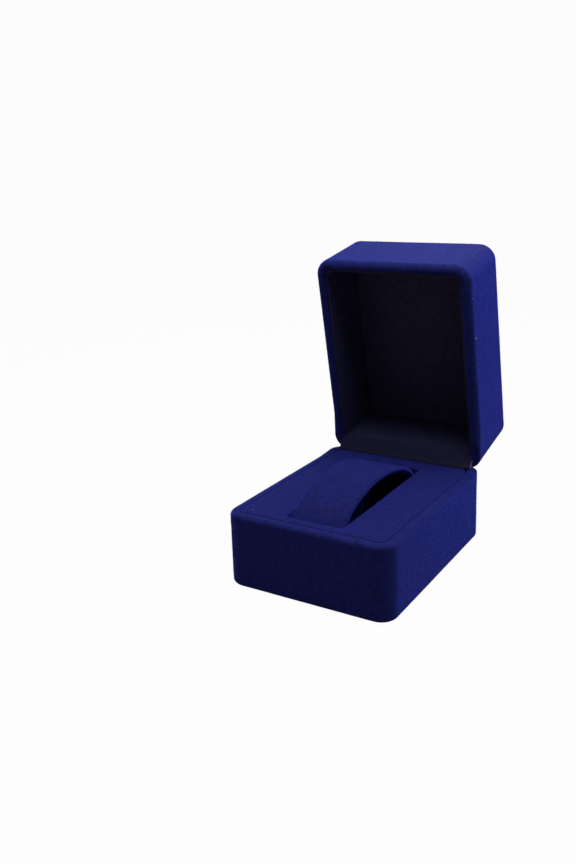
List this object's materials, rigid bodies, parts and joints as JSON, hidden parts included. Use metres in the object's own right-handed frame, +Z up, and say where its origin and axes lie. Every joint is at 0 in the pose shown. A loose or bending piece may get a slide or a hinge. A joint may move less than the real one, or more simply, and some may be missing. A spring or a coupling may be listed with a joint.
{
  "type": "watch travel case",
  "caption": "Velvet covered rectangular case for one wristwatch, with a sprung C collar in a slotted platform and a deep lid hinged at the back, shown open.",
  "frame": {"origin": "centre of the flat underside", "axes": "+Z up, +X to the right along the front, +Y to the back, where the hinge is"},
  "size_m": [0.08, 0.1404, 0.1406],
  "materials": {
    "velvet": "royal blue velvet pile",
    "lining_velvet": "dark blue velvet pile on card",
    "shell_plastic": "moulded dark plastic",
    "card": "grey card",
    "foam": "grey foam",
    "hinge_steel": "plated steel strip"
  },
  "bodies": {
    "base": {"base_shell": "shell_plastic", "base_cover": "velvet", "underside_panel": "velvet", "insert_foam": "foam", "insert_cover": "velvet", "slot_pad": "lining_velvet", "hinge_flap": "lining_velvet", "collar_band": "shell_plastic", "collar_cover": "velvet", "hinge_base_leaf": "hinge_steel", "hinge_pin": "hinge_steel", "base_rivet_left": "hinge_steel", "base_rivet_right": "hinge_steel"},
    "lid": {"lid_shell": "shell_plastic", "lid_cover": "velvet", "lid_panel_board": "card", "lid_panel_pad": "foam", "lid_panel_cover": "velvet", "lid_side_lining": "lining_velvet", "lid_top_lining": "lining_velvet", "hinge_lid_leaf": "hinge_steel", "lid_rivet_left": "hinge_steel", "lid_rivet_right": "hinge_steel"}
  },
  "joints": [
    {"name": "lid_hinge", "type": "hinge", "parent": "base", "child": "lid", "pos_m": [0, 0.0501, 0.0338], "axis": [1, 0, 0], "range_deg": [0, 79.5]}
  ]
}
